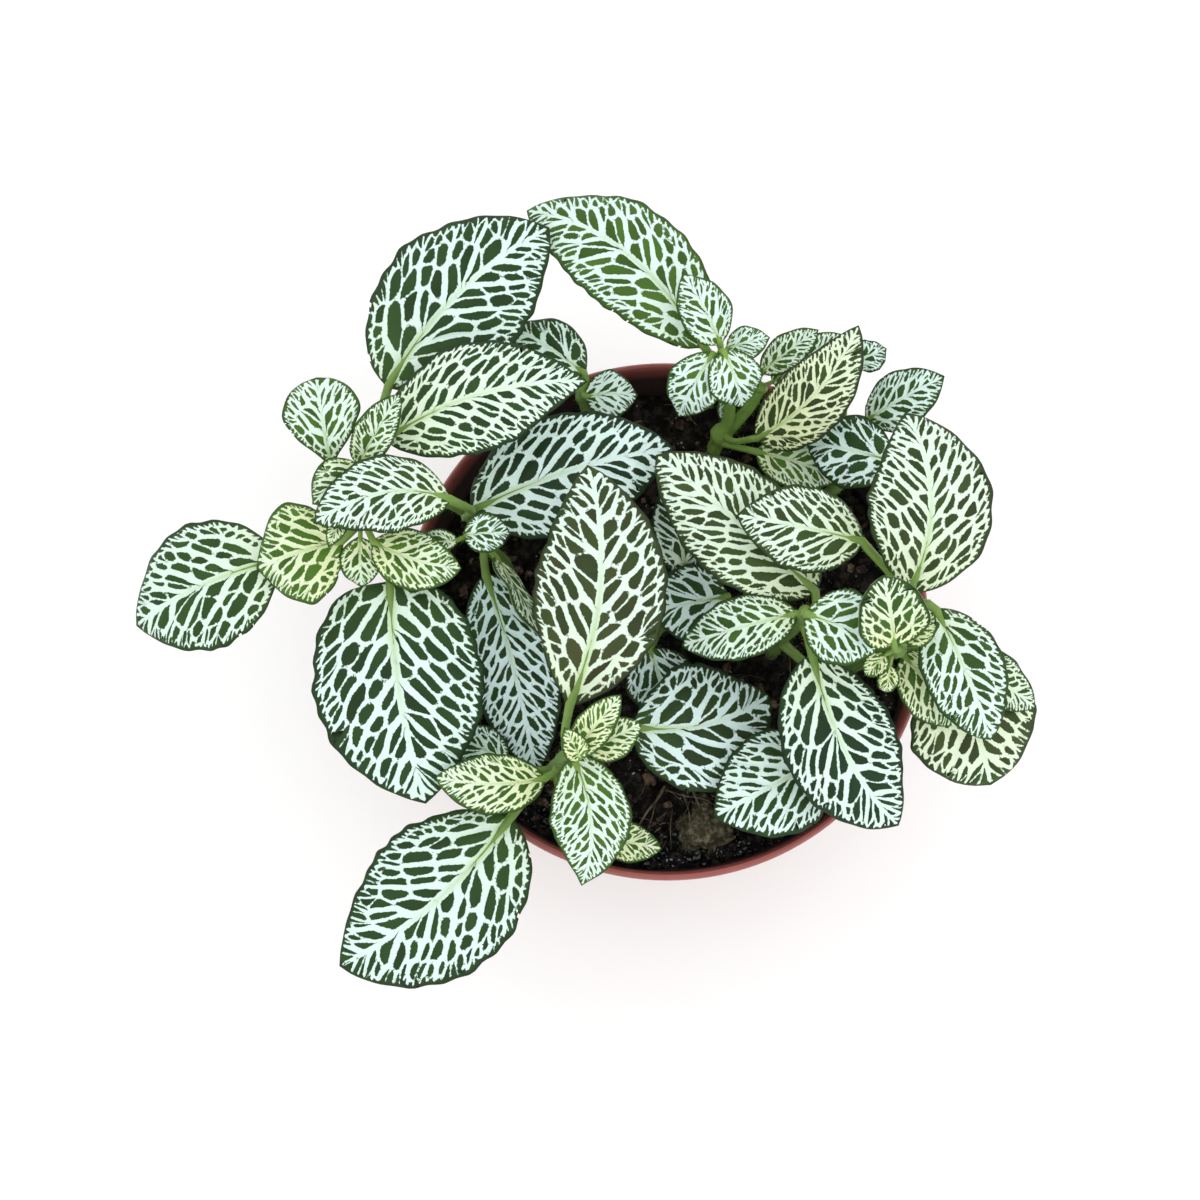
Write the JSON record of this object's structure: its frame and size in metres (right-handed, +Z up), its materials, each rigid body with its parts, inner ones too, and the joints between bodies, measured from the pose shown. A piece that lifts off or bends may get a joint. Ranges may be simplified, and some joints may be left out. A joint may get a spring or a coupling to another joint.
{
  "type": "potted nerve plant",
  "caption": "Spreading houseplant with net-veined leaves on leafy stems, standing in soil in a round plastic nursery pot.",
  "frame": {"origin": "centre of the underside of the pot, where it rests", "axes": "+Z up along the pot's axis, +Y towards the top of the picture, +X to its right"},
  "size_m": [0.21, 0.1872, 0.1502],
  "materials": {
    "pot_plastic": "satin",
    "potting_soil": "matte",
    "leaf": "satin"
  },
  "bodies": {
    "root": {"pot": "pot_plastic", "soil": "potting_soil", "stem_left": "leaf", "stem_mid_left": "leaf", "stem_back": "leaf", "stem_top": "leaf", "stem_upper_right": "leaf", "stem_front": "leaf", "stem_centre": "leaf", "stem_right_centre": "leaf", "stem_right": "leaf"}
  },
  "joints": []
}
